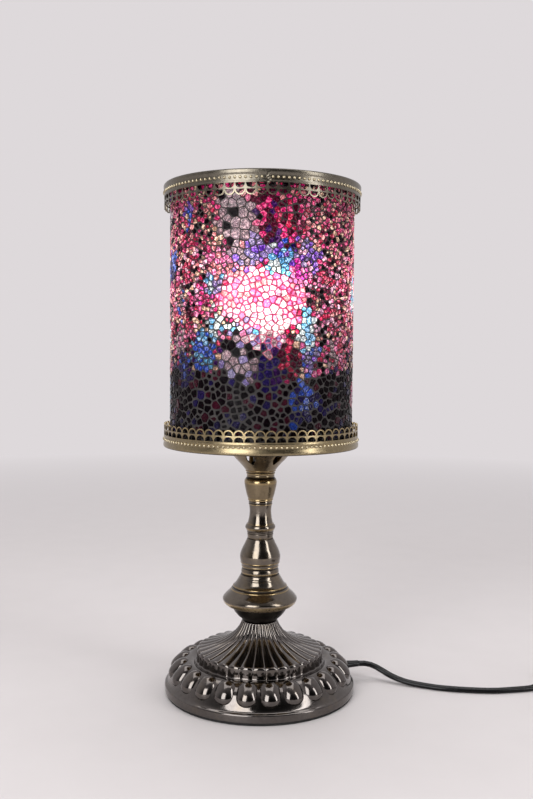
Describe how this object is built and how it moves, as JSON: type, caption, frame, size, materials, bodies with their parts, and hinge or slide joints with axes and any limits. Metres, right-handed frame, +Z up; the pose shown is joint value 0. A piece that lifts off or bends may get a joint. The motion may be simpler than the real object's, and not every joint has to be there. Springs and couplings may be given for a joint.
{
  "type": "mosaic glass table lamp",
  "caption": "Table lamp with a turned antique-metal foot and stem, a cylinder shade of crackled coloured glass mosaic between two lace rims, a screw-in bulb and a corded switch.",
  "frame": {"origin": "on the surface that the lamp stands on, at the lamp's axis", "axes": "+Z up along the stem, the shade and the bulb; the front faces -Y; the cord leaves towards +X, a little behind"},
  "size_m": [0.3738, 0.2057, 0.3483],
  "materials": {
    "pad": "matt foam",
    "antique_metal": "antique gunmetal plating, glossy, brass showing on the ridges",
    "ballast": "raw casting",
    "steel": "zinc plated",
    "gland": "satin",
    "stem_metal": "antique bronze plating, glossy, brass showing on the ridges",
    "plate_metal": "antique bronze plating",
    "rim_metal": "antique brass, dark in the hollows",
    "clear_glass": "clear",
    "mosaic_glass": "crackled coloured glass chips in dark grout",
    "holder_plastic": "moulded phenolic",
    "ceramic": "unglazed white",
    "brass": "bright",
    "live_wire": "sleeved conductor",
    "neutral_wire": "sleeved conductor",
    "cord_pvc": "flat twin flex",
    "nickel": "nickel plated",
    "bulb_plastic": "white heat-sink plastic",
    "circuit_board": "resin board",
    "led_board": "white solder mask on aluminium",
    "bulb_diffuser": "frosted diffuser",
    "switch_plastic": "fine texture",
    "rocker_plastic": "satin",
    "plug_plastic": "moulded"
  },
  "bodies": {
    "lamp": {"base_pad": "pad", "base_shell": "antique_metal", "ballast_ring": "ballast", "tube_washer": "steel", "tube_nut": "steel", "cord_gland": "gland", "threaded_tube": "steel", "stem_bowl": "stem_metal", "stem_disc": "stem_metal", "stem_vase": "stem_metal", "stem_collar": "stem_metal", "stem_neck": "stem_metal", "stem_knob": "stem_metal", "pierced_cup": "stem_metal", "shade_plate": "plate_metal", "plate_nut": "steel", "bottom_rim": "rim_metal", "bottom_lace": "rim_metal", "glass_cylinder": "clear_glass", "mosaic_layer": "mosaic_glass", "top_rim": "rim_metal", "top_lace": "rim_metal", "holder_cap": "holder_plastic", "holder_sleeve": "holder_plastic", "holder_insert": "ceramic", "screw_shell": "brass", "centre_contact": "brass", "terminal_screws": "brass", "live_lead": "live_wire", "neutral_lead": "neutral_wire", "inner_cable": "cord_pvc", "cord_run": "cord_pvc", "switch_lower": "switch_plastic", "switch_upper": "switch_plastic", "switch_screws": "steel", "switch_contacts": "brass", "cord_link": "cord_pvc", "cord_coil": "cord_pvc", "coil_tie": "gland", "cord_tail": "cord_pvc", "plug_body": "plug_plastic", "plug_pins": "nickel"},
    "bulb": {"bulb_contact": "brass", "bulb_insulator": "holder_plastic", "bulb_cap": "nickel", "bulb_housing": "bulb_plastic", "driver_board": "circuit_board", "led_board": "led_board", "bulb_dome": "bulb_diffuser"},
    "rocker": {"switch_rocker": "rocker_plastic"}
  },
  "joints": [
    {"name": "bulb_lift", "type": "slide", "parent": "lamp", "child": "bulb", "axis": [0, 0, 1], "range_m": [0, 0.18]},
    {"name": "rocker_tilt", "type": "hinge", "parent": "lamp", "child": "rocker", "pos_m": [0.248, 0.006, 0.0128], "axis": [0, 1, 0], "range_deg": [0, 18]}
  ]
}
